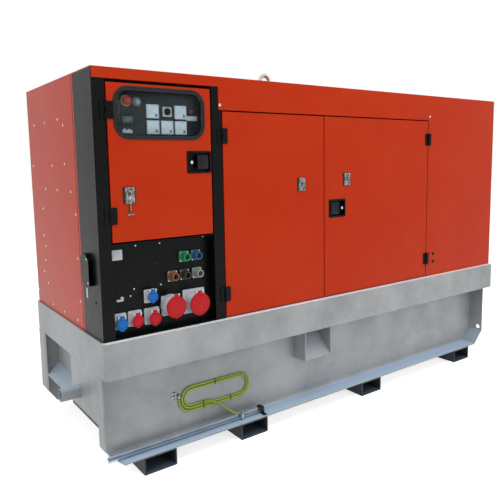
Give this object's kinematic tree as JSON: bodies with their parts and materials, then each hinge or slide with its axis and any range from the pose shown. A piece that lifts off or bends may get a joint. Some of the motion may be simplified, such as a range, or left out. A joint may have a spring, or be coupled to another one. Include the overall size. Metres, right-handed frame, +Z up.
{
  "type": "diesel generator set",
  "caption": "Canopied diesel generator set on a galvanised tank base with hollow skid feet, opening doors, window, instrument bay and lidded sockets.",
  "frame": {"origin": "on the ground under the middle of the whole set's box, pipe stub and end latch included", "axes": "+X along the set, from the control end to the plain end; +Y from the door side to the rear; +Z up"},
  "size_m": [3.672, 1.258, 2.345],
  "materials": {
    "canopy_paint": "gloss",
    "black_paint": "satin",
    "rubber": "matt",
    "lead_sheath": "green and yellow sheath",
    "glass": "clear",
    "zinc": "galvanised",
    "foot_steel": "galvanised, weathered",
    "plated_steel": "zinc plated",
    "meter_face": "clear covered",
    "control_plastic": "moulded",
    "socket_grey": "moulded",
    "connector_grey": "moulded",
    "socket_blue": "moulded",
    "socket_red": "moulded"
  },
  "bodies": {
    "canopy": {"roof_panel": "canopy_paint", "door_header": "canopy_paint", "corner_post": "black_paint", "centre_post": "black_paint", "right_front_panel": "canopy_paint", "left_end_panel": "canopy_paint", "right_end_panel": "canopy_paint", "right_end_cover": "canopy_paint", "rear_wall": "canopy_paint", "lifting_eye": "plated_steel", "side_hood": "black_paint", "canopy_fittings": "black_paint", "instrument_panel": "black_paint", "panel_meters": "meter_face", "panel_controls": "control_plastic", "socket_panel": "black_paint", "socket_bodies": "socket_grey", "power_connectors": "connector_grey", "rim_frame": "zinc", "tank_side_walls": "zinc", "tank_left_end": "zinc", "tank_right_end": "zinc", "tank_floor": "zinc", "skid_strips": "zinc", "skid_feet": "foot_steel", "side_pockets": "zinc", "drain_pipe": "zinc", "earth_rod": "plated_steel", "base_clips": "rubber", "earth_lead": "lead_sheath"},
    "control_door_leaf": {"control_door": "canopy_paint", "window_gasket": "rubber", "window_glass": "glass", "control_door_fittings": "black_paint", "control_door_hasp": "plated_steel"},
    "left_service_door": {"service_door_left": "canopy_paint", "left_door_fittings": "black_paint", "left_door_hasp": "plated_steel"},
    "right_service_door": {"service_door_right": "canopy_paint", "right_door_fittings": "black_paint", "right_door_hasp": "plated_steel"},
    "lid_1": {"socket_lid_1": "socket_blue"},
    "lid_2": {"socket_lid_2": "socket_red"},
    "lid_3": {"socket_lid_3": "socket_red"},
    "lid_4": {"socket_lid_4": "socket_blue"},
    "lid_5": {"socket_lid_5": "socket_red"},
    "lid_6": {"socket_lid_6": "socket_red"}
  },
  "joints": [
    {"name": "control_door_hinge", "type": "hinge", "parent": "canopy", "child": "control_door_leaf", "pos_m": [-1.645, -0.605, 1.712], "axis": [0, 0, -1], "range_deg": [0, 110]},
    {"name": "left_door_hinge", "type": "hinge", "parent": "canopy", "child": "left_service_door", "pos_m": [-0.96, -0.605, 1.398], "axis": [0, 0, -1], "range_deg": [0, 110]},
    {"name": "right_door_hinge", "type": "hinge", "parent": "canopy", "child": "right_service_door", "pos_m": [0.918, -0.605, 1.398], "axis": [0, 0, 1], "range_deg": [0, 110]},
    {"name": "lid_1_hinge", "type": "hinge", "parent": "canopy", "child": "lid_1", "pos_m": [-1.604, -0.578, 0.906], "axis": [-1, 0, 0], "range_deg": [0, 95]},
    {"name": "lid_2_hinge", "type": "hinge", "parent": "canopy", "child": "lid_2", "pos_m": [-1.514, -0.578, 0.909], "axis": [-1, 0, 0], "range_deg": [0, 95]},
    {"name": "lid_3_hinge", "type": "hinge", "parent": "canopy", "child": "lid_3", "pos_m": [-1.414, -0.581, 0.909], "axis": [-1, 0, 0], "range_deg": [0, 95]},
    {"name": "lid_4_hinge", "type": "hinge", "parent": "canopy", "child": "lid_4", "pos_m": [-1.42, -0.575, 1.024], "axis": [-1, 0, 0], "range_deg": [0, 95]},
    {"name": "lid_5_hinge", "type": "hinge", "parent": "canopy", "child": "lid_5", "pos_m": [-1.298, -0.611, 0.986], "axis": [-1, 0, 0], "range_deg": [0, 95]},
    {"name": "lid_6_hinge", "type": "hinge", "parent": "canopy", "child": "lid_6", "pos_m": [-1.147, -0.611, 0.983], "axis": [-1, 0, 0], "range_deg": [0, 95]}
  ]
}
